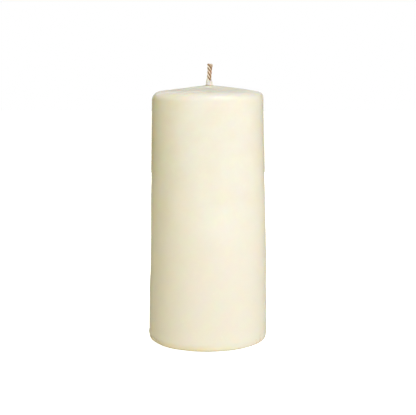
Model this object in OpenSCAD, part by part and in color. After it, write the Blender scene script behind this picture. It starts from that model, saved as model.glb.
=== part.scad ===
// Ivory pillar candle: a tapered wax pillar with a domed top, a twisted cotton wick that runs
// through it from the base, and the thin steel sustainer that holds the wick's lower end.
// The origin is the centre of the base on the surface that the candle stands on, with +Z up.
// The wick drifts and leans towards +X.

/* [Wax pillar] */
// Widest diameter, just above the rounded base edge
base_d = 70; // [50:1:100]
// Diameter where the side meets the rounded shoulder
shoulder_d = 66.6; // [48:0.2:98]
// Height of the tip of the domed top
wax_h = 152.8; // [80:0.2:250]
// Radius of the rounded base edge
base_edge_r = 2.5; // [1:0.1:6]
// Radius of the rounded shoulder
shoulder_r = 5.4; // [2:0.1:10]
// Slope of the domed top at the shoulder, in degrees
top_slope = 8.7; // [6:0.1:20]
// Slope of the domed top beside the wick, in degrees
tip_slope = 5.9; // [1:0.1:6]

/* [Wax round the wick] */
// Wall of the wax sleeve that climbed the foot of the wick
sleeve_wall = 0.5; // [0.3:0.05:1.5]
// Height of the sleeve's rim above the tip of the top, at the wick's centre
sleeve_h = 3.4; // [1.5:0.1:6]
// Radius of the hollow fillet between the sleeve and the top
sleeve_fillet = 1.1; // [0.5:0.1:3]
// Slant of the sleeve's rim, in degrees
rim_slant = 22; // [0:1:35]
// Direction in which the rim falls, in degrees from +X
rim_turn = -68; // [-180:1:180]

/* [Wick] */
// Diameter over the strands
wick_d = 2.5; // [1.5:0.1:5]
// Number of strands twisted together
strands = 4; // [3:1:5]
// Depth of the groove between two strands
groove = 0.35; // [0.1:0.05:0.5]
// Length of one full turn of the strands
lay_length = 9.4; // [7:0.2:20]
// Turn of the strands about the wick's axis, in degrees
strand_phase = 53; // [0:1:90]
// Length of wick above the tip of the top
wick_out = 12.4; // [8:0.1:30]
// Distance from the candle's axis to the wick where it leaves the wax
wick_drift = 0.7; // [0:0.05:3]
// Lean of the wick above its sleeve, in degrees
wick_lean = 4; // [0:0.5:20]
// Radius of the bend from the sleeve into the lean
bend_r = 15; // [8:1:20]
// Length of the opened strands at the cut end
flare_l = 1.5; // [0.5:0.1:2]
// How far the opened strands stand out at the cut
flare = 0.16; // [0:0.02:0.3]

/* [Wick sustainer] */
// Diameter of the steel disc
disc_d = 20; // [12:0.5:30]
// Thickness of the steel sheet
sheet_t = 0.3; // [0.2:0.05:0.6]
// Height of the collar above the disc
collar_h = 6; // [3:0.5:12]
// Outer radius of the bend from the disc into the collar
collar_bend_r = 0.9; // [0.7:0.1:2]
// Outward flare of the collar's mouth
mouth_flare = 0.25; // [0:0.05:0.6]
// Depth of the disc's underside above the base
disc_inset = 0.8; // [0.3:0.1:3]

/* [Fits] */
// Radial gap between the wick and the wax
wick_fit = 0.05; // [0.03:0.01:0.2]
// Radial gap between the wick and the collar
collar_fit = 0.05; // [0.03:0.01:0.2]
// Radial gap between the sustainer and the wax
pocket_fit = 0.15; // [0.05:0.05:0.5]

/* [Hidden] */

wax_colour = "#F3EBD3";
wick_colour = "#C9AE8C";
steel_colour = "#B9BBBD";

// Steps of each rounded edge, of the domed top and of a full circle
edge_steps = 10;
top_steps = 8;
$fn = 128;
// Overrun of a cutting shape past the face that it cuts
cut = 1;

// The side leans by side_lean, so both rounded edges run into it without a corner
side_h = wax_h - base_edge_r - shoulder_r;
side_lean = atan((base_d - shoulder_d) / 2 / side_h);
base_edge_x = base_d / 2 - base_edge_r;
shoulder_x = shoulder_d / 2 - shoulder_r * cos(side_lean);
crown_r = shoulder_x + shoulder_r * sin(top_slope);
crown_rise = crown_r * (tan(top_slope) + tan(tip_slope)) / 2;
crown_foot_z = wax_h - crown_rise;
shoulder_z = crown_foot_z - shoulder_r * cos(top_slope);

// The wick's channel is straight, from the centre of the base to the top of the sleeve
channel_d = wick_d + 2 * wick_fit;
channel_tilt = atan(wick_drift / wax_h);
sleeve_r = channel_d / 2 + sleeve_wall;
rim_z = wax_h + sleeve_h;
sleeve_top = rim_z + sleeve_r * tan(rim_slant);
fillet_x = sleeve_r + sleeve_fillet;
fillet_end_x = fillet_x - sleeve_fillet * sin(tip_slope);
// Side of the cube that cuts the sleeve's rim
rim_cut = 8 * sleeve_r;

// The sustainer's recess, and the collar, whose bore also clears the tilted wick
recess_d = disc_d + 2 * pocket_fit;
recess_h = disc_inset + sheet_t;
collar_bore_r = wick_d / 2 + collar_fit + (recess_h + collar_h) * tan(channel_tilt);
collar_r = collar_bore_r + sheet_t;
pocket_r = collar_r + mouth_flare + pocket_fit;
pocket_h = recess_h + collar_h + pocket_fit;
pocket_mouth_r = max(pocket_r, collar_r + collar_bend_r + pocket_fit);

// The wick's route: up the channel, round the bend and straight on at the lean
wick_foot = disc_inset;
bend_start = sleeve_top;
bend_l = bend_r * wick_lean * PI / 180;
wick_end = wax_h + wick_out;
strand_points = 4;
ring_points = strands * strand_points;
rings_per_turn = 16;
rings = ceil((wick_end - wick_foot) / lay_length * rings_per_turn);
// Each strand shows as an arc of radius strand_r round a centre strand_x from the wick's axis
strand_turn = 360 / strands;
valley_r = wick_d / 2 - groove;
strand_x = (pow(wick_d / 2, 2) - pow(valley_r, 2)) / (wick_d - 2 * valley_r * cos(strand_turn / 2));
strand_r = wick_d / 2 - strand_x;

// Points on an arc round [x, z], from angle a to angle b
function arc(x, z, r, a, b) = [
    for (i = [0 : edge_steps])
        let (t = a + (b - a) * i / edge_steps)
        [x + r * cos(t), z + r * sin(t)]
];

// Height of the domed top at a radius: its slope falls evenly from top_slope to tip_slope
function top_z(r) =
    let (u = 1 - r / crown_r)
    crown_foot_z + crown_r * (tan(top_slope) * u - (tan(top_slope) - tan(tip_slope)) * u * u / 2);

// Half of the pillar's section, from the centre of the base out and up to the tip
function pillar_section() = concat(
    [[0, 0]],
    arc(base_edge_x, base_edge_r, base_edge_r, -90, side_lean),
    arc(shoulder_x, shoulder_z, shoulder_r, side_lean, 90 - top_slope),
    [for (i = [1 : top_steps]) let (r = crown_r * (1 - i / top_steps)) [r, top_z(r)]]
);

// Half of the sleeve's section: a hollow fillet up from the top, and the wall. The fillet ends on
// the top where the sleeve stands furthest out, and sinks a little below it all round from there
function sleeve_section() =
    let (low = top_z(fillet_end_x + wick_drift))
    concat(
        [[0, low - cut], [fillet_end_x, low - cut]],
        arc(fillet_x, low + sleeve_fillet * cos(tip_slope), sleeve_fillet, 270 - tip_slope, 180),
        [[sleeve_r, sleeve_top + cut], [0, sleeve_top + cut]]
    );

module along_channel() {
    rotate([0, channel_tilt, 0])
        children();
}

module sleeve() {
    along_channel()
        difference() {
            rotate_extrude()
                polygon(sleeve_section());
            translate([0, 0, rim_z])
                rotate([0, rim_slant, rim_turn])
                    translate([-rim_cut / 2, -rim_cut / 2, 0])
                        cube(rim_cut);
        }
}

// The recess for the disc, the pocket for the collar and the channel for the wick
module wick_way() {
    translate([0, 0, -cut])
        cylinder(d = recess_d, h = recess_h + cut);
    cylinder(r = pocket_r, h = pocket_h);
    translate([0, 0, recess_h])
        cylinder(r1 = pocket_mouth_r, r2 = pocket_r, h = pocket_mouth_r - pocket_r);
    along_channel()
        cylinder(d = channel_d, h = sleeve_top + cut);
}

module wax_body() {
    color(wax_colour)
        difference() {
            union() {
                rotate_extrude()
                    polygon(pillar_section());
                sleeve();
            }
            wick_way();
        }
}

// Radius of the twisted section at an angle from a strand's crest, with the strand's centre at x
function strand_reach(a, x) = x * cos(a) + sqrt(max(pow(strand_r, 2) - pow(x * sin(a), 2), 0));

// Lean of the wick from upright at a length along it, and its centre there
function route_lean(s) = channel_tilt + min(max(s - bend_start, 0), bend_l) / bend_r * 180 / PI;
function route(s) =
    let (
        a = route_lean(s),
        up = min(s, bend_start),
        on = max(s - bend_start - bend_l, 0)
    )
    [
        up * sin(channel_tilt) + bend_r * (cos(channel_tilt) - cos(a)) + on * sin(a),
        0,
        up * cos(channel_tilt) + bend_r * (sin(a) - sin(channel_tilt)) + on * cos(a)
    ];

// How far the strands have moved outwards at a length along the wick, near its cut end
function opening(s) = flare * pow(max(s - wick_end + flare_l, 0) / flare_l, 2);

// One ring of points across the wick, with its strands turned by their twist
function wick_ring(s) =
    let (c = route(s), a = route_lean(s), twist = strand_phase - 360 * s / lay_length)
    [
        for (i = [0 : ring_points - 1])
            let (
                off = (i % strand_points) * strand_turn / strand_points - strand_turn / 2,
                r = strand_reach(off, strand_x + opening(s)),
                t = twist + i * strand_turn / strand_points
            )
            c + r * [cos(t) * cos(a), sin(t), -cos(t) * sin(a)]
    ];

module wick() {
    lengths = [for (k = [0 : rings]) wick_foot + (wick_end - wick_foot) * k / rings];
    points = [for (s = lengths) each wick_ring(s)];
    side_faces = [
        for (k = [0 : rings - 1], i = [0 : ring_points - 1])
            let (
                j = (i + 1) % ring_points,
                low = k * ring_points,
                high = low + ring_points
            )
            each [[low + i, high + i, high + j], [low + i, high + j, low + j]]
    ];
    bottom_face = [for (i = [0 : ring_points - 1]) i];
    top_face = [for (i = [ring_points - 1 : -1 : 0]) rings * ring_points + i];
    color(wick_colour)
        polyhedron(points, concat(side_faces, [bottom_face, top_face]));
}

// Half of the sustainer's section: the disc, the bend and the collar with its flared mouth
function sustainer_section() =
    let (
        top = recess_h + collar_h,
        bend_x = collar_r + collar_bend_r,
        inner_bend_r = collar_bend_r + sheet_t
    )
    concat(
        [[disc_d / 2, disc_inset], [disc_d / 2, recess_h]],
        arc(bend_x, recess_h + collar_bend_r, collar_bend_r, 270, 180),
        [
            [collar_r, top - 2 * mouth_flare - sheet_t],
            [collar_r + mouth_flare, top],
            [collar_bore_r + mouth_flare, top],
            [collar_bore_r, top - 2 * mouth_flare - sheet_t]
        ],
        arc(bend_x, recess_h + collar_bend_r, inner_bend_r, 180, 270)
    );

module wick_sustainer() {
    color(steel_colour)
        rotate_extrude()
            polygon(sustainer_section());
}

wax_body();
wick();
wick_sustainer();
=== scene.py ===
"""Dressed model of an ivory pillar candle: dipped wax, a twisted cotton wick and a steel sustainer.

Lengths are named in millimetres and turned to metres where a mesh or a node needs them. The candle
stands on z = 0 round the z axis, the wick leans towards +x, and -y faces the camera."""

import math
from collections import namedtuple
from types import SimpleNamespace

import bpy
import numpy as np
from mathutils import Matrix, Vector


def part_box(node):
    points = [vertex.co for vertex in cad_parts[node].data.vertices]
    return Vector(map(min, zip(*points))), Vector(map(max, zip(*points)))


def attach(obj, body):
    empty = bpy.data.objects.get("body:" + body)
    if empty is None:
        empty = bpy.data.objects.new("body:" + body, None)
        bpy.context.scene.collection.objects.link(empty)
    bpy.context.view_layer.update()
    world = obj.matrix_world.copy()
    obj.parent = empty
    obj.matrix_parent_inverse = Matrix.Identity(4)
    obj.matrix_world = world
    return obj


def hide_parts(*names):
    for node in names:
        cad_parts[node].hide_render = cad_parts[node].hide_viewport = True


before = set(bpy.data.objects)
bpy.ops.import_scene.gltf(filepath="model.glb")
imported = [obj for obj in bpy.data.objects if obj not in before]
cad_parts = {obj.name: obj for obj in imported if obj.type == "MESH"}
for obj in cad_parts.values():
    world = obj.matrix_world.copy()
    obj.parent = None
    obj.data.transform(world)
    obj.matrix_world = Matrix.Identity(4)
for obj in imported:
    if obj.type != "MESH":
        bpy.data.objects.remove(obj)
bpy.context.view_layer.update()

MM = 0.001

# The pillar's sizes: the widest radius from the frame, the rest as the solids have them
BASE_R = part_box("wax_body")[1].x / MM
SHOULDER_R = BASE_R - 1.7
WAX_H = 152.8
BASE_EDGE_R = 2.5
SHOULDER_EDGE_R = 5.4
TOP_SLOPE = math.radians(8.7)
TIP_SLOPE = math.radians(5.9)
CROWN_R = SHOULDER_R - SHOULDER_EDGE_R * (1 - math.sin(TOP_SLOPE))

# The wick: its radius and lay, and its route from the base to the cut end
WICK_R = 1.25
LAY_LENGTH = 10.0
WICK_DRIFT = 0.7
WICK_LEAN = math.radians(4)
BEND_R = 15.0
WICK_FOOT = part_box("wick")[0].z / MM
WICK_END = WAX_H + 12.4
CHANNEL_TILT = math.atan(WICK_DRIFT / WAX_H)

# Each strand's end: how far its tip is above the cut, how far it opens there, its bulge and how far
# down that is, the length and share of freshly cut cotton, and the share of soiled cotton
StrandEnd = namedtuple("StrandEnd", "tip opening bulge bulge_down fresh_length fresh soiled")
STRAND_ENDS = (
    StrandEnd(tip=-0.02, opening=0.10, bulge=0.00, bulge_down=1.7, fresh_length=0.6, fresh=0.50, soiled=0.2),
    StrandEnd(tip=-0.12, opening=0.16, bulge=0.40, bulge_down=1.7, fresh_length=1.9, fresh=0.95, soiled=0.0),
    StrandEnd(tip=-0.10, opening=0.10, bulge=0.24, bulge_down=2.5, fresh_length=0.6, fresh=0.40, soiled=0.0),
    StrandEnd(tip=0.03, opening=0.30, bulge=0.14, bulge_down=0.9, fresh_length=0.6, fresh=0.00, soiled=1.0),
)
STRANDS = len(STRAND_ENDS)

# One strand's section: an arc of radius STRAND_R round a centre STRAND_X from the wick's axis. It spans
# HALF_STRAND to each side, and drops by GROOVE from its crest to where it meets its neighbour.
# STRAND_PHASE turns the whole wick, and STRAND_FIT is the share of its span that a strand fills
GROOVE = 0.5
VALLEY_R = WICK_R - GROOVE
HALF_STRAND = math.pi / STRANDS
STRAND_X = (WICK_R**2 - VALLEY_R**2) / (2 * WICK_R - 2 * VALLEY_R * math.cos(HALF_STRAND))
STRAND_R = WICK_R - STRAND_X
STRAND_PHASE = math.radians(43)
STRAND_FIT = 0.985
# The yarns of a strand: how high their ridges are, how far they are sunk in it, and their lay
YARN_RIDGE = 0.022
YARN_SUNK = 0.02
YARN_LAY = 3.1
# Length of the rounded tuft that ends a strand, and the side of the wick that gets painted light
TUFT = 0.35
PAINTED_LIGHT_TURN = math.radians(-125)
# Loose fibres on the wick: how many there are, and how thick they start
HAIRS = 90
HAIR_R = 0.022

# The wax sleeve round the foot of the wick, and its slanted rim
CHANNEL_R = WICK_R + 0.05
SLEEVE_R = CHANNEL_R + 0.5
SLEEVE_FILLET = 1.1
RIM_Z = WAX_H + 3.4
RIM_SLANT = math.radians(22)
RIM_TURN = math.radians(-68)
BEND_START = RIM_Z + SLEEVE_R * math.tan(RIM_SLANT)

# The recess under the base and the pocket for the sustainer's collar
disc_low, disc_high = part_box("wick_sustainer")
SHEET_T = 0.3
POCKET_FIT = 0.15
RECESS_EDGE_R = 0.3
RECESS_R = disc_high.x / MM + POCKET_FIT
RECESS_H = disc_low.z / MM + SHEET_T
POCKET_H = disc_high.z / MM + POCKET_FIT
POCKET_R = 2.03
POCKET_MOUTH_R = 2.68

# How far the wax's surface is uneven: slow and faint waves of the side, faint waves of the lifted edge
# and the top, the slope of the top's tilt, and the waves of the sleeve's rim and wall
SIDE_SWAY = 0.08
SIDE_RIPPLE = 0.02
EDGE_RIPPLE = 0.03
TOP_WAVE = 0.045
TOP_TILT = 0.008
RIM_RAG = 0.16
SLEEVE_RAG = 0.07
# The share of its wall that the sleeve loses at its rim
RIM_THINNING = 0.62

# How far the hand-dipped side swells past the even taper, at heights up the left and the right
LEFT_SWELL = (
    (0, 0.6), (2.3, 0.42), (4.4, 0.88), (7, 0.48), (14, 0.41), (24, 0.41), (33, 0.49), (44, 0.0), (53, 0.06),
    (63, -0.07), (72, 0.03), (83, 0.17), (100, 0.15), (112, 0.05), (141, -0.02),
)
RIGHT_SWELL = (
    (0, 0.25), (2.5, 0.05), (4, 0.27), (7, 0.42), (14, 0.50), (24, 0.49), (34, 0.47), (44, 0.60), (53, 0.62),
    (63, 0.50), (73, 0.27), (83, 0.27), (93, 0.14), (102, 0.13), (112, 0.02), (121, -0.15), (130, -0.28),
    (141, -0.38),
)
# The fuller corner on the right, under the shoulder: how far it stands out, its height and half its band
CORNER_SWELL = 0.95
CORNER_Z = 148.2
CORNER_BAND = 1.4

# The lifted stretch of the base edge, on the right in front: its height, direction and half its width
LIFT = 0.5
LIFT_TURN = math.radians(-22)
LIFT_WIDTH = math.radians(28)

# Nicks near the base edge: direction in degrees from +x, height, half the width, and depth
NICKS = (
    (-64, 2.4, 1.1, 0.32),
    (-27, 4.2, 1.7, 0.30),
    (-118, 1.6, 1.2, 0.20),
    (-158, 3.0, 1.0, 0.45),
    (-157, 0.0, 6.0, 0.75),
)

# Low beads of wax on the top in front of the wick: x, y, half the width, and height
BEADS = (
    (-0.4, -11.0, 0.75, 0.80),
    (1.25, -9.8, 0.62, 0.75),
    (3.9, -5.5, 0.50, 0.35),
)

# Camera: fitted to the candle's outline in the photograph, which is 416 pixels wide
PHOTO_WIDTH = 416
FOCAL_PIXELS = 1114.25
CAMERA_DISTANCE = 661.1
CAMERA_HEIGHT = 167.4
CAMERA_PITCH = math.radians(7.547)
SENSOR_WIDTH = 36.0

# Sizes of the patterns in the wax, on its skin and on the steel
CLOUD_SIZE = 14.0
FLECK_SIZE = 2.2
SCUFF_SIZE = 1.5
PEEL_SIZE = 6.0
PRESS_RING = 3.0
MOTTLE_SIZE = 1.6
# Patterns on the cotton: fibres and patches round a strand and in each millimetre along it
FIBRES_ROUND = 22.0
FIBRES_ALONG = 1.1
PATCHES_ROUND = 1.5
PATCHES_ALONG = 0.55

# Settings and input values that many shader nodes share
COLOURS = {"data_type": "RGBA"}
SMOOTH = {"interpolation_type": "SMOOTHSTEP"}
TIMES = {"operation": "MULTIPLY"}
FALLING = {"To_Min": 1.0, "To_Max": 0.0}
WHITE = (1.0, 1.0, 1.0, 1.0)


def linear(hex_colour):
    """sRGB hex colour as linear red, green, blue and alpha."""
    parts = np.array([int(hex_colour[i : i + 2], 16) for i in (1, 3, 5)]) / 255
    low = parts / 12.92
    high = ((parts + 0.055) / 1.055) ** 2.4
    return (*np.where(parts <= 0.04045, low, high).tolist(), 1.0)


def waves(angle, height, seed, count, around, along):
    """Smooth unevenness of about unit size: a sum of cosines, each with a whole number of waves round
    the candle, a random wavelength up it that is no shorter than along, and a random phase."""
    rng = np.random.default_rng(seed)
    turns = rng.integers(0, around + 1, count)
    rises = rng.uniform(-1, 1, count) * 2 * np.pi / along
    phases = rng.uniform(0, 2 * np.pi, count)
    total = np.zeros(np.broadcast(angle, height).shape)
    for turn, rise, phase in zip(turns, rises, phases):
        total += np.cos(turn * angle + rise * height + phase)
    return total / math.sqrt(count / 2)


def hump(distance):
    """Bell curve: e to the power of minus half the distance squared, so one at 0 and next to nothing at 3."""
    return np.exp(-0.5 * distance**2)


def ease(x):
    """Smooth step from 0 at x = 0 to 1 at x = 1: three x squared less two x cubed."""
    x = np.clip(x, 0, 1)
    return x * x * (3 - 2 * x)


def swell_at(height, stations):
    """Value at each height, eased from one station (height, value) to the next."""
    heights, values = np.array(stations, float).T
    i = np.clip(np.searchsorted(heights, height) - 1, 0, len(heights) - 2)
    share = ease((height - heights[i]) / (heights[i + 1] - heights[i]))
    return values[i] * (1 - share) + values[i + 1] * share


def turn_between(angle, centre):
    """Angle from centre to angle the short way round, from minus pi to pi."""
    return (angle - centre + np.pi) % (2 * np.pi) - np.pi


def arc(x, z, r, start, end, count):
    """Points (x + r cos t, z + r sin t), with t from start to end in degrees."""
    t = np.radians(np.linspace(start, end, count))
    return np.stack([x + r * np.cos(t), z + r * np.sin(t)], 1)


def line(x0, z0, x1, z1, count, crowd=1.0):
    """Points from one end of a line to the other, crowded towards the first end where crowd is over 1."""
    t = (np.linspace(0, 1, count) ** crowd)[:, None]
    return np.array([x0, z0]) * (1 - t) + np.array([x1, z1]) * t


def grid_quads(rows, columns, loop_rows):
    """Quads between the points of a grid whose columns close round, and whose rows close if loop_rows."""
    i = np.arange(rows if loop_rows else rows - 1)[:, None]
    j = np.arange(columns)[None, :]
    low = i * columns
    high = ((i + 1) % rows) * columns
    side = (j + 1) % columns
    return np.stack([low + j, low + side, high + side, high + j], -1).reshape(-1, 4)


def add_piece(name, points, quads, material, caps=()):
    """Mesh object from points in millimetres and quads, with any caps, smooth, riding on the root."""
    mesh = bpy.data.meshes.new(name)
    faces = [*quads.tolist(), *[list(cap) for cap in caps]]
    mesh.from_pydata((points.reshape(-1, 3) * MM).tolist(), [], faces)
    mesh.polygons.foreach_set("use_smooth", np.ones(len(faces), bool))
    mesh.materials.append(material)
    mesh.update()
    piece = bpy.data.objects.new(name, mesh)
    bpy.context.scene.collection.objects.link(piece)
    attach(piece, "root")
    return piece


def add_node(tree, kind, settings=None, **inputs):
    """One shader node with its settings, input values and links. An input goes by its name, with _ for a
    space, or by _0, _1 and so on among the sockets in use. A node given as a value is linked from its
    first output in use."""
    node = tree.nodes.new("ShaderNode" + kind)
    for name, value in (settings or {}).items():
        setattr(node, name, value)
    in_use = [socket for socket in node.inputs if socket.enabled]
    for name, value in inputs.items():
        socket = in_use[int(name[1:])] if name.startswith("_") else node.inputs[name.replace("_", " ")]
        if isinstance(value, bpy.types.Node):
            value = next(output for output in value.outputs if output.enabled)
        if isinstance(value, bpy.types.NodeSocket):
            tree.links.new(value, socket)
        else:
            socket.default_value = value
    return node


def new_material(name):
    """Empty node material and its node tree."""
    material = bpy.data.materials.new(name)
    material.use_nodes = True
    material.node_tree.nodes.clear()
    return material, material.node_tree


def crown_height(radius):
    """Height of the domed top at a radius: its slope falls evenly from the shoulder to the tip."""
    rise = CROWN_R * (math.tan(TOP_SLOPE) + math.tan(TIP_SLOPE)) / 2
    u = 1 - radius / CROWN_R
    bend = (math.tan(TOP_SLOPE) - math.tan(TIP_SLOPE)) * u * u / 2
    return WAX_H - rise + CROWN_R * (math.tan(TOP_SLOPE) * u - bend)


def wax_section():
    """The wax's closed section as rows of radius, height and part: out along the base, up the side,
    over the top, up the sleeve, down the wick's channel and pocket, and back over the recess. The last
    number of a line or an arc is its count of points."""
    shoulder_x = SHOULDER_R - SHOULDER_EDGE_R
    shoulder_z = crown_height(CROWN_R) - SHOULDER_EDGE_R * math.cos(TOP_SLOPE)
    shoulder_end = 90 - math.degrees(TOP_SLOPE)
    fillet_x = SLEEVE_R + SLEEVE_FILLET
    fillet_end = fillet_x - SLEEVE_FILLET * math.sin(TIP_SLOPE)
    fillet_z = crown_height(fillet_end) + SLEEVE_FILLET * math.cos(TIP_SLOPE)
    fillet_start = 270 - math.degrees(TIP_SLOPE)
    edge = RECESS_EDGE_R
    wall = (SLEEVE_R - CHANNEL_R) / 2
    crown = line(fillet_end, 0, CROWN_R, 0, 64, crowd=2.0)[::-1]
    crown[:, 1] = crown_height(crown[:, 0])
    parts = {
        "recess_wall": line(RECESS_R, RECESS_H, RECESS_R, edge, 3),
        "recess_edge": arc(RECESS_R + edge, edge, -edge, 0, 90, 5),
        "base": line(RECESS_R + 2 * edge, 0, BASE_R - BASE_EDGE_R - 1, 0, 22),
        "base_edge": arc(BASE_R - BASE_EDGE_R, BASE_EDGE_R, BASE_EDGE_R, -90, 0, 16),
        "side": line(BASE_R, BASE_EDGE_R + 1, SHOULDER_R, shoulder_z - 1, 140),
        "shoulder": arc(shoulder_x, shoulder_z, SHOULDER_EDGE_R, 0, shoulder_end, 22),
        "crown": crown[1:-1],
        "fillet": arc(fillet_x, fillet_z, SLEEVE_FILLET, fillet_start, 180, 12),
        "sleeve": line(SLEEVE_R, fillet_z + 0.15, SLEEVE_R, RIM_Z - wall, 14),
        "rim": arc(SLEEVE_R - wall, RIM_Z - wall, wall, 20, 160, 7),
        "channel_top": line(CHANNEL_R, RIM_Z - wall, CHANNEL_R, WAX_H - 2, 8),
        "channel": line(CHANNEL_R, WAX_H - 6, CHANNEL_R, POCKET_H + 1, 6),
        "pocket": line(CHANNEL_R, POCKET_H, POCKET_R, POCKET_H, 3),
        "pocket_wall": line(POCKET_R, POCKET_H - 0.5, POCKET_R, RECESS_H + 0.65, 4),
        "ceiling": line(POCKET_MOUTH_R, RECESS_H, RECESS_R - 0.4, RECESS_H, 5),
    }
    rows = np.concatenate(list(parts.values()))
    names = np.concatenate([[name] * len(part) for name, part in parts.items()])
    return rows[:, 0], rows[:, 1], names


def dipped_side(angle, height):
    """Radius that the dipped side gains: the swells of its left and right, shared by the cosine of the
    angle, slow waves in front and behind, a fuller corner high on the right, and faint waves all over."""
    leftness = 0.5 - 0.5 * np.cos(angle)
    swell = swell_at(height, LEFT_SWELL) * leftness + swell_at(height, RIGHT_SWELL) * (1 - leftness)
    corner = CORNER_SWELL * hump((height - CORNER_Z) / CORNER_BAND) * np.maximum(np.cos(angle), 0) ** 8
    sway = np.abs(np.sin(angle)) * SIDE_SWAY * waves(angle, height, seed=11, count=14, around=4, along=45)
    ripple = SIDE_RIPPLE * waves(angle, height, seed=12, count=24, around=14, along=14)
    return swell + sway + corner + ripple


def shape_side(angle, r, z, radius, rows_of):
    """Moves the points of the side and base: out by dipped_side, which fades out at both ends, up by a
    bell and faint waves along the lifted stretch of the base edge, and in by a bell for each nick."""
    fade = ease((z + 3) / 4) * ease((WAX_H - z) / 8)
    r += rows_of("base_edge", "side", "shoulder") * fade * dipped_side(angle, z)
    lift = LIFT * hump(turn_between(angle, LIFT_TURN) / LIFT_WIDTH)
    lift = lift + EDGE_RIPPLE * waves(angle, 0, seed=13, count=10, around=12, along=20)
    near_edge = ease((radius - BASE_R + 7) / 5)[:, None] * ease((9 - z) / 8)
    z += rows_of("base", "base_edge", "side") * near_edge * np.maximum(lift, 0)
    for turn, up, width, depth in NICKS:
        aside = turn_between(angle, math.radians(turn)) * BASE_R
        r -= rows_of("base_edge", "side") * depth * hump(aside / width) * hump((z - up) / (0.6 * width))


def shape_sleeve(angle, r, z, height, rows_of):
    """Moves the points of the sleeve: its rim down along the slant and by short waves, less and less
    towards the foot, its radius by shorter waves, and its wall thinner towards the rim."""
    rim_tilt = -math.tan(RIM_SLANT) * r * np.cos(angle - RIM_TURN)
    rim_rag = RIM_RAG * waves(angle, 0, seed=16, count=12, around=9, along=20)
    foot = 0.6
    share = ease((z - WAX_H - foot) / (RIM_Z - WAX_H - foot))
    z += rows_of("sleeve", "rim", "channel_top") * share * (rim_tilt + rim_rag)
    ragged = SLEEVE_RAG * waves(angle, z, seed=17, count=20, around=7, along=2.5)
    r += rows_of("sleeve", "fillet") * ragged * ease(z - WAX_H + 0.3)
    band = 1.5
    thinned = RIM_THINNING * ease((height[:, None] - RIM_Z + band) / band)
    r -= rows_of("sleeve", "rim") * (r - CHANNEL_R) * thinned


def make_wax(material):
    """The wax: its closed section turned round the axis, with its side and sleeve then shaped.

    The rings of the sleeve and channel are centred on the wick, and those of the top come back to the
    axis as the square of how near they are to the sleeve. The top gains faint waves, a slight tilt and
    a bell for each bead of wax."""
    columns = 256
    radius, height, part = wax_section()
    angle = np.arange(columns)[None, :] * 2 * np.pi / columns
    r = np.repeat(radius[:, None], columns, 1)
    z = np.repeat(height[:, None], columns, 1)

    def rows_of(*names):
        """One for the section's rows that are in the named parts, and zero for the others."""
        return np.isin(part, names)[:, None].astype(float)

    shape_side(angle, r, z, radius, rows_of)
    wick_x = z * math.tan(CHANNEL_TILT)
    on_wick = rows_of("fillet", "sleeve", "rim", "channel_top", "channel", "pocket")
    round_axis = BASE_R * 0.8
    crown_share = np.clip((round_axis - r) / (round_axis - SLEEVE_R - SLEEVE_FILLET), 0, 1) ** 2
    centre = wick_x * np.where(on_wick > 0, 1.0, rows_of("crown") * crown_share)
    top_wave = TOP_WAVE * waves(angle, r, seed=15, count=16, around=3, along=18)
    tilt = TOP_TILT * r * np.cos(angle)
    z += rows_of("crown") * ease((28 - r) / 6) * ease((r - 3) / 4) * (top_wave + tilt)
    shape_sleeve(angle, r, z, height, rows_of)

    x = centre + r * np.cos(angle)
    y = r * np.sin(angle)
    for bead_x, bead_y, width, rise in BEADS:
        z += rows_of("crown", "fillet") * rise * hump(np.hypot(x - bead_x, y - bead_y) / width)
    points = np.stack([x, y, z], -1)
    quads = grid_quads(len(radius), columns, True)
    piece = add_piece("wax_pillar", points, quads, material)
    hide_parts("wax_body")
    return piece


def wick_route(s):
    """Centre and lean of the wick at length s: straight up its channel, round one bend, then straight."""
    lean = CHANNEL_TILT + np.clip((s - BEND_START) / BEND_R, 0, WICK_LEAN)
    up = np.minimum(s, BEND_START)
    on = np.maximum(s - BEND_START - BEND_R * WICK_LEAN, 0)
    x = up * math.sin(CHANNEL_TILT) + BEND_R * (math.cos(CHANNEL_TILT) - np.cos(lean)) + on * np.sin(lean)
    z = up * math.cos(CHANNEL_TILT) + BEND_R * (np.sin(lean) - math.sin(CHANNEL_TILT)) + on * np.cos(lean)
    return x, z, lean


def strand_section(s, k):
    """Radius and angle from its crest of each point round a strand, at each length s: an arc of radius
    STRAND_R round STRAND_X, with fine ridges for its yarns that turn the other way, and two flat sides
    that run in along its neighbours."""
    crest_steps, side_steps = 26, 5
    off = np.linspace(-HALF_STRAND, HALF_STRAND, crest_steps)[None, :] * STRAND_FIT
    reach = STRAND_X * np.cos(off) + np.sqrt(STRAND_R**2 - (STRAND_X * np.sin(off)) ** 2)
    ridges = np.abs(np.sin(2.5 * off / HALF_STRAND * np.pi + 2 * np.pi * s / YARN_LAY + k))
    outer = reach + (YARN_RIDGE * ridges - YARN_SUNK) * np.cos(off / HALF_STRAND * np.pi / 2)
    side = VALLEY_R * np.linspace(0.86, 0.10, side_steps)[None, :] * np.ones_like(s)
    ring_r = np.concatenate([outer, side, side[:, ::-1]], 1)
    last = np.full(side_steps, off[0, -1])
    first = np.full(side_steps, off[0, 0])
    return ring_r, np.concatenate([off[0], last, first])[None, :]


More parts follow.
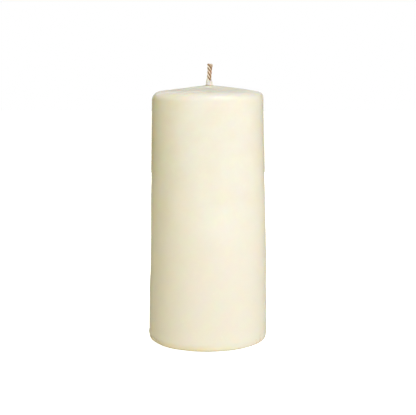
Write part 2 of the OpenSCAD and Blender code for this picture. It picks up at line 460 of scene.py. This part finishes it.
def strand_fields(s, k, ring_r, facing, end):
    """What the cotton's colour reads at each point of strand k: its place around and along the strand,
    how deep in a groove, how much painted shade it gets and how soiled it is, the strand's own tone,
    how much painted light it gets, and how fresh it is.

    Painted light goes by the cosine of the angle between where the cotton faces and the lit side. A
    short band below the cut gets painted shade where it faces right, and a soiled tip is dark and gets
    no painted light."""
    own = STRAND_ENDS[k]
    rows, columns = facing.shape
    everywhere = np.zeros(facing.shape)
    soiled = own.soiled * ease((s - end + 1.0) / 0.5)
    # painted shade: a band below the cut, where the strand faces right
    shaded = 0.75 * hump((s - WICK_END + 2.4) / 0.42) * np.clip(np.cos(facing), 0, 1) ** 2
    depth = np.clip((WICK_R - ring_r) / GROOVE, 0, 1) * (1 - 0.7 * ease((s - end + 1.5) / 1.3))
    return {
        "around": np.repeat(np.linspace(0, 1, columns)[None, :], rows, 0),
        "along": s + everywhere,
        "depth": np.maximum(np.maximum(depth, shaded), 0.5 * soiled),
        "tone": k + everywhere,
        # painted light: paler where the cotton faces the lit side
        "bleached": (0.5 + 0.5 * np.cos(facing - PAINTED_LIGHT_TURN)) * (1 - soiled),
        "fresh": own.fresh * ease((s - end + own.fresh_length) / 0.5) + everywhere,
    }


def make_strand(k, material):
    """One strand of the wick: its section carried along the wick's route, from the foot to the cut.

    The section turns once in LAY_LENGTH, and a little faster near the cut. Above the sleeve, where no
    wax holds it, it is a little larger. Near the cut it moves outwards, with a bell for its bulge, and
    its end shrinks like the end of an ellipse to a blunt tuft."""
    own = STRAND_ENDS[k]
    end = WICK_END + own.tip
    hidden = np.arange(WICK_FOOT, WAX_H + 1, 0.6)
    shown = np.arange(WAX_H + 1.3, end - TUFT, 0.1)
    tip = end - TUFT * np.cos(np.linspace(0.1, 1.5, 8))
    s = np.concatenate([hidden, shown, tip])[:, None]
    ring_r, ring_off = strand_section(s, k)

    tuft = np.clip((s - end + TUFT) / TUFT, 0, 1)
    shrink = np.sqrt(1 - 0.96 * tuft**2)
    flatter = 1 - 0.10 * ease((s - end + 1.2) / 1.2)
    swollen = 1 + 0.06 * ease((s - RIM_Z - 0.7) / 1.3)
    opened = own.opening * ease((s - WICK_END + 2.2) / 2.0) ** 1.5
    away = opened + own.bulge * hump((s - WICK_END + own.bulge_down) / 0.7)
    local_x = (STRAND_X + away + (ring_r * np.cos(ring_off) - STRAND_X) * shrink * flatter) * swollen
    local_y = ring_r * np.sin(ring_off) * shrink * swollen
    tightened = 0.33 * ease((s - WICK_END + 5.5) / 4.5)
    turn = STRAND_PHASE + HALF_STRAND + 2 * HALF_STRAND * k - 2 * np.pi * s / LAY_LENGTH - tightened
    across = local_x * np.cos(turn) - local_y * np.sin(turn)
    deep = local_x * np.sin(turn) + local_y * np.cos(turn)
    x, z, lean = wick_route(s)
    points = np.stack([x + across * np.cos(lean), deep, z - across * np.sin(lean)], -1)

    rows, columns = across.shape
    quads = grid_quads(rows, columns, False)
    caps = (range(columns - 1, -1, -1), range((rows - 1) * columns, rows * columns))
    piece = add_piece(f"wick_strand_{k + 1}", points, quads, material, caps)
    facing = turn + np.arctan2(local_y, local_x)
    for name, value in strand_fields(s, k, ring_r, facing, end).items():
        layer = piece.data.attributes.new(name, "FLOAT", "POINT")
        layer.data.foreach_set("value", value.astype(np.float32).ravel())
    return piece


def make_fuzz(material):
    """Loose cotton fibres: thin three-sided hairs that taper to a quarter, each a curve that starts in
    the wick's side or near its cut end, goes out and up with its length, and turns and sags with its
    length squared."""
    rng = np.random.default_rng(31)
    rings, sides = 7, 3
    single = (HAIRS, 1)
    at_end = rng.random(single) < 0.45
    near_cut = WICK_END - rng.uniform(0.1, 0.9, single)
    start = np.where(at_end, near_cut, rng.uniform(RIM_Z + 0.8, WICK_END, single))
    length = np.where(at_end, rng.uniform(0.5, 1.1, single), rng.uniform(0.25, 0.8, single))
    turn = rng.uniform(0, 2 * np.pi, single)
    rise = np.where(at_end, rng.uniform(0.5, 1.2, single), rng.uniform(0.0, 0.9, single))
    curl = rng.uniform(-1.6, 1.6, single)
    t = np.linspace(0, 1, rings)[None, :]
    out = WICK_R + length * t * np.cos(rise) * 0.8
    up = length * t * np.sin(rise) - 0.25 * length * t**2
    a = turn + curl * length * t**2 * 0.5
    wick_x, wick_z, _ = wick_route(start)
    path = np.stack([wick_x + out * np.cos(a) - 0.15 * np.cos(a), out * np.sin(a), wick_z + up], -1)
    thick = HAIR_R * (1 - 0.75 * t)
    around = np.arange(sides) * 2 * np.pi / sides
    ring = np.stack([np.cos(around), 0 * around, np.sin(around)], -1)
    points = path[:, :, None, :] + thick[:, :, None, None] * ring[None, None]
    quads = grid_quads(rings, sides, False)
    first = np.arange(HAIRS) * rings * sides
    quads = (quads[None] + first[:, None, None]).reshape(-1, 4)
    last = first + (rings - 1) * sides
    caps = [(f + 2, f + 1, f) for f in first] + [(e, e + 1, e + 2) for e in last]
    return add_piece("wick_fuzz", points, quads, material, caps)


def places_on_wax(tree):
    """Where a point of the wax is: its coordinates, its distance from the axis, sideways from the middle
    and from the wick, and the soft clouds and flecks that the wax set with."""
    place = add_node(tree, "TexCoord").outputs["Object"]
    split = add_node(tree, "SeparateXYZ", Vector=place)
    flat = add_node(tree, "VectorMath", TIMES, _0=place, _1=(1, 1, 0))
    return SimpleNamespace(
        place=place,
        x=split.outputs["X"],
        y=split.outputs["Y"],
        height=split.outputs["Z"],
        flat=flat,
        out=add_node(tree, "VectorMath", {"operation": "LENGTH"}, _0=flat),
        sideways=add_node(tree, "Math", {"operation": "ABSOLUTE"}, _0=split.outputs["X"]),
        aside=add_node(tree, "VectorMath", {"operation": "DISTANCE"}, _0=flat, _1=(WICK_DRIFT * MM, 0, 0)),
        cloud=add_node(
            tree, "TexNoise", Vector=place, Scale=1 / (CLOUD_SIZE * MM), Detail=3.0, Roughness=0.55
        ),
        fleck=add_node(
            tree, "TexNoise", Vector=place, Scale=1 / (FLECK_SIZE * MM), Detail=2.0, Roughness=0.5
        ),
    )


def body_colour(tree, at, upper):
    """Colour of the wax: warmer low on the side, with painted shade that makes the shoulder and top
    greyer away from the wick, softly clouded, with a few paler flecks."""
    rise = add_node(tree, "MapRange", SMOOTH, Value=at.height, From_Min=5 * MM, From_Max=140 * MM)
    side = add_node(tree, "Mix", COLOURS, _0=rise, _1=linear("#F0E9DE"), _2=linear("#F2EEE3"))
    rim = add_node(tree, "MapRange", SMOOTH, Value=at.out, From_Min=16 * MM, From_Max=26 * MM, To_Min=0.1)
    # painted shade: the shoulder and top, away from the wick, are greyed
    painted_top_shade = add_node(tree, "Math", TIMES, _0=upper, _1=rim)
    body = add_node(tree, "Mix", COLOURS, _0=painted_top_shade, _1=side, _2=linear("#EDE9E2"))
    clouds = add_node(tree, "MapRange", Value=at.cloud, From_Min=0.35, From_Max=0.65)
    clouded = add_node(tree, "Mix", COLOURS, _0=clouds, _1=body, _2=linear("#F0EADC"))
    flecks = add_node(tree, "MapRange", Value=at.fleck, From_Min=0.62, From_Max=0.8, To_Max=0.25)
    return add_node(tree, "Mix", COLOURS, _0=flecks, _1=clouded, _2=linear("#F5F3E8"))


def foot_colour(tree, at, body, rubbed):
    """Colour with painted warm light through the wax: a yellow band round the foot, stronger on the
    shaded left. It also has tan scuffs in small specks where the base's corners are rubbed."""
    # painted warm light through the wax at the foot, stronger on the shaded left
    low = add_node(tree, "MapRange", SMOOTH, Value=at.height, From_Min=0.5 * MM, From_Max=4.6 * MM, **FALLING)
    leftward = add_node(
        tree, "MapRange", Value=at.x, From_Min=-6 * MM, From_Max=24 * MM, To_Min=0.8, To_Max=0.3
    )
    foot = add_node(tree, "Math", TIMES, _0=low, _1=leftward)
    painted_foot_glow = add_node(tree, "Mix", COLOURS, _0=foot, _1=body, _2=linear("#F0DFB6"))
    speckle = add_node(tree, "TexNoise", Vector=at.place, Scale=1 / (SCUFF_SIZE * MM), Detail=1.0)
    specks = add_node(tree, "MapRange", Value=speckle, From_Min=0.5, From_Max=0.66)
    worn = add_node(tree, "Math", TIMES, _0=specks, _1=rubbed)
    return add_node(tree, "Mix", COLOURS, _0=worn, _1=painted_foot_glow, _2=linear("#E6D3BC"))


def top_colour(tree, at, wax, upper, sleeve):
    """Colour with what the top has: a painted pale reflection in front of the wick, the sleeve's veil over
    the cotton, with painted light on its shaded left, and painted brown shade in the crease round the
    sleeve's foot, stronger on the left."""
    # painted reflection: a pale patch on the top in front of the wick
    patch = add_node(tree, "VectorMath", {"operation": "DISTANCE"}, _0=at.flat, _1=(-2 * MM, -14 * MM, 0))
    patch = add_node(tree, "MapRange", SMOOTH, Value=patch, From_Min=5 * MM, From_Max=18 * MM, **FALLING)
    patch = add_node(tree, "Math", TIMES, _0=patch, _1=upper)
    painted_reflection = add_node(tree, "Mix", COLOURS, _0=patch, _1=wax, _2=linear("#FFFBEA"))

    cotton = add_node(tree, "MapRange", Value=at.fleck, From_Min=0.4, From_Max=0.65)
    veil = add_node(tree, "Mix", COLOURS, _0=cotton, _1=linear("#E8E3E0"), _2=linear("#D5CBBF"))
    # painted light: the veil is lighter on the sleeve's shaded left
    painted_sleeve_light = add_node(
        tree, "MapRange", Value=at.x, From_Min=-0.7 * MM, From_Max=0.9 * MM, To_Min=0.8, To_Max=0.0
    )
    veil = add_node(tree, "Mix", COLOURS, _0=painted_sleeve_light, _1=veil, _2=linear("#FFF9F6"))
    veiled = add_node(tree, "Mix", COLOURS, _0=sleeve, _1=painted_reflection, _2=veil)

    # painted shade: a brown ring in the crease round the sleeve's foot, stronger on the left
    ring = add_node(tree, "MapRange", Value=at.aside, From_Min=3.3 * MM, From_Max=4.8 * MM, **FALLING)
    below = add_node(
        tree, "MapRange", Value=at.height, From_Min=(WAX_H - 0.1) * MM, From_Max=(WAX_H + 0.2) * MM, **FALLING
    )
    leftward = add_node(
        tree, "MapRange", Value=at.x, From_Min=-0.6 * MM, From_Max=1.6 * MM, To_Min=0.8, To_Max=0.2
    )
    ring = add_node(tree, "Math", TIMES, _0=ring, _1=below)
    ring = add_node(tree, "Math", TIMES, _0=ring, _1=leftward)
    return add_node(tree, "Mix", COLOURS, _0=ring, _1=veiled, _2=linear("#9C7F55"))


def ivory_wax():
    """Paraffin pillar wax, moulded and dipped in an ivory overcoat: a milky body that light enters, so
    shaded sides and thin edges turn warm, under a smooth skin. The skin is a glossy coat on the side
    and shoulder, and duller on the top, where the dip ran off. Light goes less deep near the wick, which
    stops it, and in the scuffed corners. The thin sleeve is greyer, because the cotton shows through."""
    material, tree = new_material("dipped_ivory_paraffin_wax")
    at = places_on_wax(tree)
    upper = add_node(tree, "MapRange", SMOOTH, Value=at.height, From_Min=141 * MM, From_Max=147 * MM)
    corner = add_node(tree, "MapRange", Value=at.sideways, From_Min=26 * MM, From_Max=29 * MM)
    low = add_node(tree, "MapRange", SMOOTH, Value=at.height, From_Min=2.5 * MM, From_Max=5.5 * MM, **FALLING)
    rubbed = add_node(tree, "Math", TIMES, _0=corner, _1=low)
    near_wick = add_node(tree, "MapRange", Value=at.aside, From_Min=2.1 * MM, From_Max=3.0 * MM, **FALLING)
    above = add_node(
        tree, "MapRange", Value=at.height, From_Min=(WAX_H + 0.2) * MM, From_Max=(WAX_H + 1) * MM
    )
    sleeve = add_node(tree, "Math", TIMES, _0=near_wick, _1=above)
    wax = foot_colour(tree, at, body_colour(tree, at, upper), rubbed)
    colour = top_colour(tree, at, wax, upper, sleeve)

    # The glossy coat starts further in at the front, and further out at the sides and the back
    polished = add_node(tree, "Math", {"operation": "MULTIPLY_ADD"}, _0=at.y, _1=-0.1, _2=at.out)
    polished = add_node(tree, "Math", {"operation": "MULTIPLY_ADD"}, _0=at.sideways, _1=-0.06, _2=polished)
    coat = add_node(
        tree, "MapRange", SMOOTH, Value=polished, From_Min=26 * MM, From_Max=30 * MM, To_Min=0.3
    )
    deep = add_node(
        tree, "MapRange", Value=at.aside, From_Min=10 * MM, From_Max=18 * MM, To_Min=0.5 * MM, To_Max=4 * MM
    )
    shallow = add_node(tree, "MapRange", Value=rubbed, From_Max=0.6, To_Min=1.0, To_Max=0.35)
    skin = add_node(tree, "Bump", Strength=0.2, Distance=0.04 * MM, Height=at.fleck)
    peel = add_node(tree, "TexNoise", Vector=at.place, Scale=1 / (PEEL_SIZE * MM), Detail=1.0)
    shader = add_node(
        tree,
        "BsdfPrincipled",
        {"subsurface_method": "RANDOM_WALK"},
        Base_Color=colour,
        Roughness=add_node(
            tree, "MapRange", Value=at.cloud, From_Min=0.3, From_Max=0.7, To_Min=0.30, To_Max=0.38
        ),
        IOR=1.44,
        Specular_IOR_Level=0.0,
        Subsurface_Weight=add_node(tree, "MapRange", Value=sleeve, To_Min=1.0, To_Max=0.6),
        Subsurface_Radius=(1.0, 0.7, 0.4),
        Subsurface_Scale=add_node(tree, "Math", TIMES, _0=deep, _1=shallow),
        Coat_Weight=coat,
        Coat_Roughness=0.08,
        Coat_IOR=1.5,
        Normal=add_node(tree, "Bump", Strength=0.2, Distance=0.07 * MM, Height=peel, Normal=skin),
    )
    add_node(tree, "OutputMaterial", Surface=shader)
    return material


def cotton_colour(tree, read, fibre, patch):
    """Colour of the cotton: brown yarns that go from tan to pink in patches, with painted light that
    makes the upper part of each strand pale where it faces the lit side, streaked along the fibres,
    with painted shade down in the grooves and to the side of a crest, and clean and pale where the
    cut is fresh."""
    warm = add_node(tree, "MapRange", Value=patch, From_Min=0.45, From_Max=0.75)
    pale = add_node(tree, "Mix", COLOURS, _0=warm, _1=linear("#FFF3E0"), _2=linear("#FBE6D0"))
    pink = add_node(tree, "MapRange", Value=patch, From_Min=0.42, From_Max=0.58)
    brown = add_node(tree, "Mix", COLOURS, _0=pink, _1=linear("#B08A62"), _2=linear("#D29C84"))
    # painted light: the upper part of each strand is pale where it faces the lit side
    upper = add_node(tree, "MapRange", Value=read["around"], From_Min=0.20, From_Max=0.34)
    painted_lit_side = add_node(tree, "MapRange", Value=read["bleached"], From_Min=0.74, From_Max=0.88, To_Min=0.15)
    painted_light_share = add_node(tree, "Math", TIMES, _0=upper, _1=painted_lit_side)
    yarns = add_node(tree, "Mix", COLOURS, _0=painted_light_share, _1=brown, _2=pale)
    streaks = add_node(tree, "MapRange", Value=fibre, From_Min=0.50, From_Max=0.85)
    streaked = add_node(tree, "Mix", COLOURS, _0=streaks, _1=yarns, _2=linear("#B08D6B"))
    # painted shade: darker to the side of a crest and down in the grooves
    beside = add_node(tree, "MapRange", Value=read["depth"], From_Min=0.12, From_Max=0.55)
    painted_crest_shade = add_node(tree, "Mix", COLOURS, _0=beside, _1=streaked, _2=linear("#94704C"))
    within = add_node(tree, "MapRange", Value=read["depth"], From_Min=0.55, From_Max=1.0)
    laid = add_node(tree, "Mix", COLOURS, _0=within, _1=painted_crest_shade, _2=linear("#5F4630"))
    return add_node(tree, "Mix", COLOURS, _0=read["fresh"], _1=laid, _2=linear("#F7E6D2"))


def waxed_cotton():
    """Cotton yarn laid up in strands and soaked in wax: brown matt yarns, with painted light that makes
    them pale on the lit side and painted shade where the strands meet, with fine fibres along each
    strand and a slight waxy sheen. The fibres are drawn about 0.13 mm wide, some eight times as coarse
    as real ones, so that they show."""
    material, tree = new_material("waxed_twisted_cotton")
    names = ("around", "along", "depth", "tone", "bleached", "fresh")
    read = {name: add_node(tree, "Attribute", {"attribute_name": name}).outputs["Fac"] for name in names}
    place = add_node(tree, "CombineXYZ", X=read["around"], Y=read["along"], Z=read["tone"])
    along_fibre = add_node(tree, "Mapping", Vector=place, Scale=(FIBRES_ROUND, FIBRES_ALONG, 3.0))
    fibre = add_node(tree, "TexNoise", Vector=along_fibre, Scale=1.0, Detail=3.0, Roughness=0.6)
    along_patch = add_node(tree, "Mapping", Vector=place, Scale=(PATCHES_ROUND, PATCHES_ALONG, 5.0))
    patch = add_node(tree, "TexNoise", Vector=along_patch, Scale=1.0, Detail=1.0)
    shader = add_node(
        tree,
        "BsdfPrincipled",
        Base_Color=cotton_colour(tree, read, fibre, patch),
        Roughness=0.62,
        IOR=1.5,
        Sheen_Weight=0.25,
        Sheen_Roughness=0.4,
        Normal=add_node(tree, "Bump", Strength=0.6, Distance=0.05 * MM, Height=fibre),
    )
    add_node(tree, "OutputMaterial", Surface=shader)
    return material


def tinned_steel():
    """Tin-plated steel sheet, pressed: a dull bright metal with faint rings from the press tool and a
    mottled plating."""
    material, tree = new_material("tin_plated_steel_sheet")
    place = add_node(tree, "TexCoord").outputs["Object"]
    rings = add_node(
        tree,
        "TexWave",
        {"wave_type": "RINGS", "rings_direction": "Z"},
        Vector=place,
        Scale=1 / (PRESS_RING * MM),
        Distortion=0.4,
        Detail=1.0,
    )
    mottle = add_node(tree, "TexNoise", Vector=place, Scale=1 / (MOTTLE_SIZE * MM), Detail=4.0)
    shader = add_node(
        tree,
        "BsdfPrincipled",
        Base_Color=add_node(tree, "Mix", COLOURS, _0=mottle, _1=linear("#C3C4C6"), _2=linear("#D9DADB")),
        Metallic=1.0,
        Roughness=add_node(
            tree, "MapRange", Value=mottle, From_Min=0.3, From_Max=0.7, To_Min=0.28, To_Max=0.45
        ),
        Normal=add_node(tree, "Bump", Strength=0.35, Distance=0.03 * MM, Height=rings.outputs["Fac"]),
    )
    add_node(tree, "OutputMaterial", Surface=shader)
    return material


def seen_directly(tree, behind):
    """One for rays that show the background: straight from the camera, through glass, or mirrored where
    the white card behind the candle stands. Beside the card a mirrored ray meets the dim room. The card
    starts where behind, the share of a direction that points away from the camera, is 0.93."""
    card = add_node(tree, "MapRange", Value=behind, From_Min=0.93, From_Max=0.97)
    path = add_node(tree, "LightPath")
    mirrored = add_node(tree, "Math", TIMES, _0=path.outputs["Is Glossy Ray"], _1=card)
    largest = {"operation": "MAXIMUM"}
    first = add_node(tree, "Math", largest, _0=path.outputs["Is Camera Ray"], _1=mirrored)
    return add_node(tree, "Math", largest, _0=first, _1=path.outputs["Is Transmission Ray"])


def studio_floor():
    """White studio table: a large flat sheet that takes a soft shadow. It is painted a little whiter
    close round the candle, to throw more light onto the candle's foot, and for the camera it glows too,
    fully so further out, where it looks white."""
    half = 3000.0
    material, tree = new_material("white_table_board")
    place = add_node(tree, "TexCoord").outputs["Object"]
    away = add_node(tree, "VectorMath", {"operation": "LENGTH"}, _0=place)
    # painted light: the floor is whiter close round the candle, so that it lights the candle's foot more
    brighter_round_candle = add_node(tree, "MapRange", SMOOTH, Value=away, From_Min=35 * MM, From_Max=41 * MM)
    colour = add_node(tree, "Mix", COLOURS, _0=brighter_round_candle, _1=linear("#F3F2EF"), _2=linear("#E6E5E0"))
    board = add_node(tree, "BsdfDiffuse", Color=colour)
    fill = add_node(
        tree, "MapRange", SMOOTH, Value=away, From_Min=80 * MM, From_Max=350 * MM, To_Min=0.9, To_Max=1.0
    )
    glow = add_node(tree, "Emission", Color=WHITE, Strength=fill)
    filled = add_node(tree, "AddShader", _0=board, _1=glow)
    y = add_node(tree, "SeparateXYZ", Vector=place).outputs["Y"]
    behind = add_node(tree, "Math", {"operation": "DIVIDE"}, _0=y, _1=away)
    seen = add_node(tree, "MixShader", _0=seen_directly(tree, behind), _1=board, _2=filled)
    add_node(tree, "OutputMaterial", Surface=seen)

    mesh = bpy.data.meshes.new("studio_floor")
    corners = np.array([[-half, -half, 0], [half, -half, 0], [half, half, 0], [-half, half, 0]]) * MM
    mesh.from_pydata(corners.tolist(), [], [(0, 1, 2, 3)])
    mesh.materials.append(material)
    floor = bpy.data.objects.new("studio_floor", mesh)
    bpy.context.scene.collection.objects.link(floor)


def studio_world():
    """Studio room: dim warm walls as light, white where the background shows, and for mirrored rays a
    bright ceiling that starts a little above eye level and darkens towards the room's right end."""
    world = bpy.data.worlds.new("studio")
    bpy.context.scene.world = world
    world.use_nodes = True
    tree = world.node_tree
    tree.nodes.clear()
    way = add_node(tree, "SeparateXYZ", Vector=add_node(tree, "TexCoord").outputs["Generated"])
    dim = add_node(tree, "Background", Color=linear("#FFF1B1"), Strength=0.256)
    white = add_node(tree, "Background", Color=WHITE, Strength=1.0)
    room = add_node(tree, "MixShader", _0=seen_directly(tree, way.outputs["Y"]), _1=dim, _2=white)

    ceiling = add_node(tree, "Background", Color=WHITE, Strength=1.45)
    overhead = add_node(tree, "MapRange", SMOOTH, Value=way.outputs["Z"], From_Min=0.12, From_Max=0.42)
    mirrored = add_node(tree, "LightPath").outputs["Is Glossy Ray"]
    overhead = add_node(tree, "Math", TIMES, _0=mirrored, _1=overhead)
    right = way.outputs["X"]
    for start, end, dimmed in ((-0.5, 0.3, 0.4), (0.42, 0.66, 0.1)):
        darker = add_node(
            tree, "MapRange", SMOOTH, Value=right, From_Min=start, From_Max=end, To_Min=1.0, To_Max=dimmed
        )
        overhead = add_node(tree, "Math", TIMES, _0=darker, _1=overhead)
    roofed = add_node(tree, "MixShader", _0=overhead, _1=room, _2=ceiling)
    add_node(tree, "OutputWorld", Surface=roofed)


def studio_lamp(name, turn, rise, width, height, power, distance=1000, colour="#FFFFFF", mirrored=False):
    """Soft lamp, turn degrees right of the camera's side and rise degrees up, that faces the middle of
    the candle. A mirrored lamp is oval and shows only in the gloss. The others are oblong and broad,
    and light the candle without showing in its gloss."""
    light = bpy.data.lights.new(name, "AREA")
    light.shape = "ELLIPSE" if mirrored else "RECTANGLE"
    light.size = width * MM
    light.size_y = height * MM
    light.energy = power
    light.color = linear(colour)[:3]
    lamp = bpy.data.objects.new(name, light)
    a, e = math.radians(turn), math.radians(rise)
    back = np.array([math.sin(a) * math.cos(e), -math.cos(a) * math.cos(e), math.sin(e)])
    middle = np.array([0, 0, WAX_H / 2])
    lamp.location = ((middle + back * distance) * MM).tolist()
    lamp.rotation_euler = (math.pi / 2 - e, 0, a)
    lamp.visible_glossy = mirrored
    lamp.visible_diffuse = not mirrored
    bpy.context.scene.collection.objects.link(lamp)


def make_camera():
    """Camera in front of the candle, a little above its top, pitched down, without shift."""
    data = bpy.data.cameras.new("camera")
    data.sensor_width = SENSOR_WIDTH
    data.lens = FOCAL_PIXELS * SENSOR_WIDTH / PHOTO_WIDTH
    data.clip_start = 0.01
    data.clip_end = 20
    camera = bpy.data.objects.new("camera", data)
    camera.location = (0, -CAMERA_DISTANCE * MM, CAMERA_HEIGHT * MM)
    camera.rotation_euler = (math.pi / 2 - CAMERA_PITCH, 0, 0)
    bpy.context.scene.collection.objects.link(camera)
    bpy.context.scene.camera = camera


make_camera()
bpy.context.scene.view_settings.view_transform = "Standard"

make_wax(ivory_wax())
cotton = waxed_cotton()
strands = [make_strand(k, cotton) for k in range(STRANDS)]
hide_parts("wick")
make_fuzz(cotton)
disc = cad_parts["wick_sustainer"]
disc.data.materials.clear()
disc.data.materials.append(tinned_steel())

studio_floor()
studio_world()
studio_lamp("key", turn=17, rise=12, width=1100, height=900, power=10.8, colour="#E9EFFF")
studio_lamp("top", turn=0, rise=78, width=800, height=800, power=1.95, colour="#E9F4FF")
studio_lamp("over", turn=31.2, rise=52, width=600, height=540, power=3.4, distance=1200, mirrored=True)
studio_lamp("right", turn=95, rise=10, width=500, height=900, power=2.56, colour="#FFEFB9")
studio_lamp("left", turn=-50, rise=6, width=500, height=900, power=1.53, colour="#FFEC44")
studio_lamp("back", turn=180, rise=2, width=350, height=300, power=4.0, colour="#F6F4FF")
